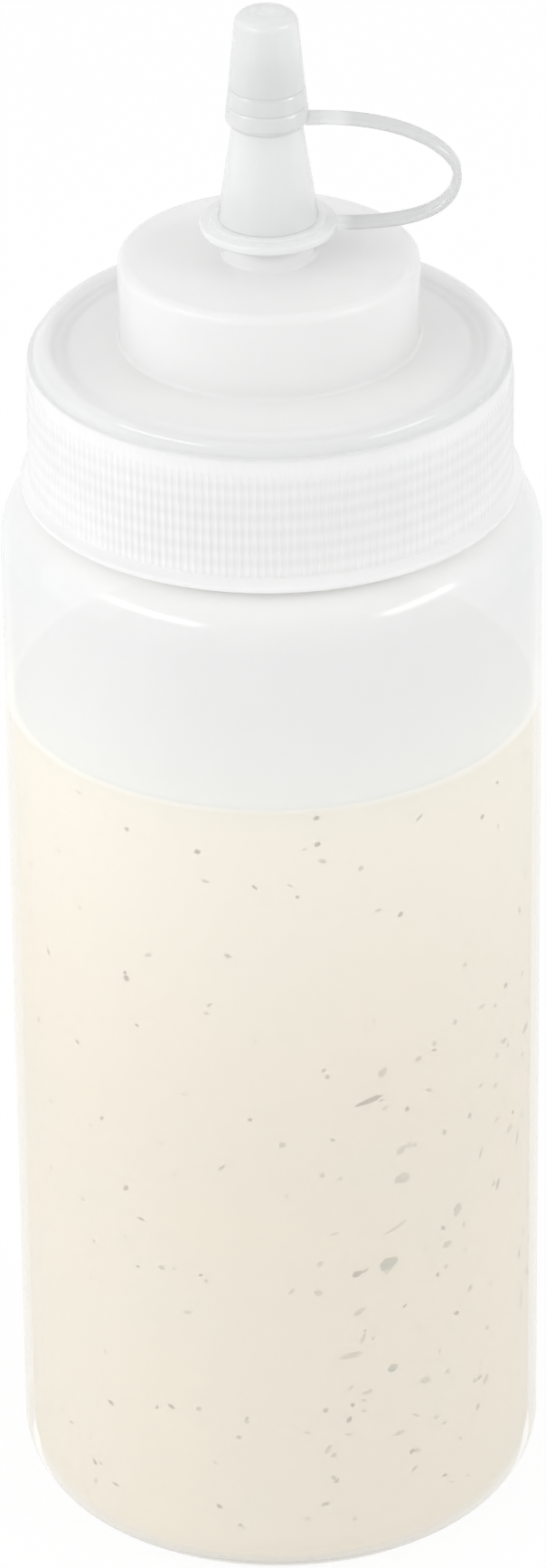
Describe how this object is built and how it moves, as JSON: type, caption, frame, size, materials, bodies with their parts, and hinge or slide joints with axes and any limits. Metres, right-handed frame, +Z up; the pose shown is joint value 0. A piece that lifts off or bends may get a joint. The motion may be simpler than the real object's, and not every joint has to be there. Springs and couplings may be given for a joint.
{
  "type": "sauce squeeze bottle",
  "caption": "Translucent squeeze bottle filled with sauce, with a ribbed screw cap, a cone nozzle and a tip cap on a looped strap.",
  "frame": {"origin": "centre of the base, on the surface that the bottle stands on", "axes": "+Z up along the bottle's axis, +X towards the strap's loop"},
  "size_m": [0.072, 0.072, 0.22],
  "materials": {
    "bottle_plastic": "soft translucent polyethylene, satin",
    "sauce": "thick cream sauce with green and brown herb specks",
    "cap_plastic": "translucent moulded polyethylene, glossy, ribbed skirt",
    "tether_plastic": "translucent soft polyethylene, glossy"
  },
  "bodies": {
    "bottle": {"bottle": "bottle_plastic", "sauce": "sauce"},
    "tether": {"tether_ring": "tether_plastic", "tether_strap": "tether_plastic"},
    "screw_cap": {"cap": "cap_plastic"},
    "tip": {"tip_cap": "tether_plastic"}
  },
  "joints": [
    {"name": "cap_lift", "type": "slide", "parent": "bottle", "child": "tether", "axis": [0, 0, 1], "range_m": [0, 0.01277]},
    {"name": "cap_turn", "type": "hinge", "parent": "tether", "child": "screw_cap", "pos_m": [0, 0, 0.19], "axis": [0, 0, 1], "range_deg": [0, 1044]},
    {"name": "tip_pull", "type": "slide", "parent": "tether", "child": "tip", "axis": [0, 0, 1], "range_m": [0, 0.014], "deforming": ["tether_strap"]}
  ],
  "couplings": [
    {"joint": "cap_lift", "follows": "cap_turn", "m_per_rad": 0.00070028}
  ]
}
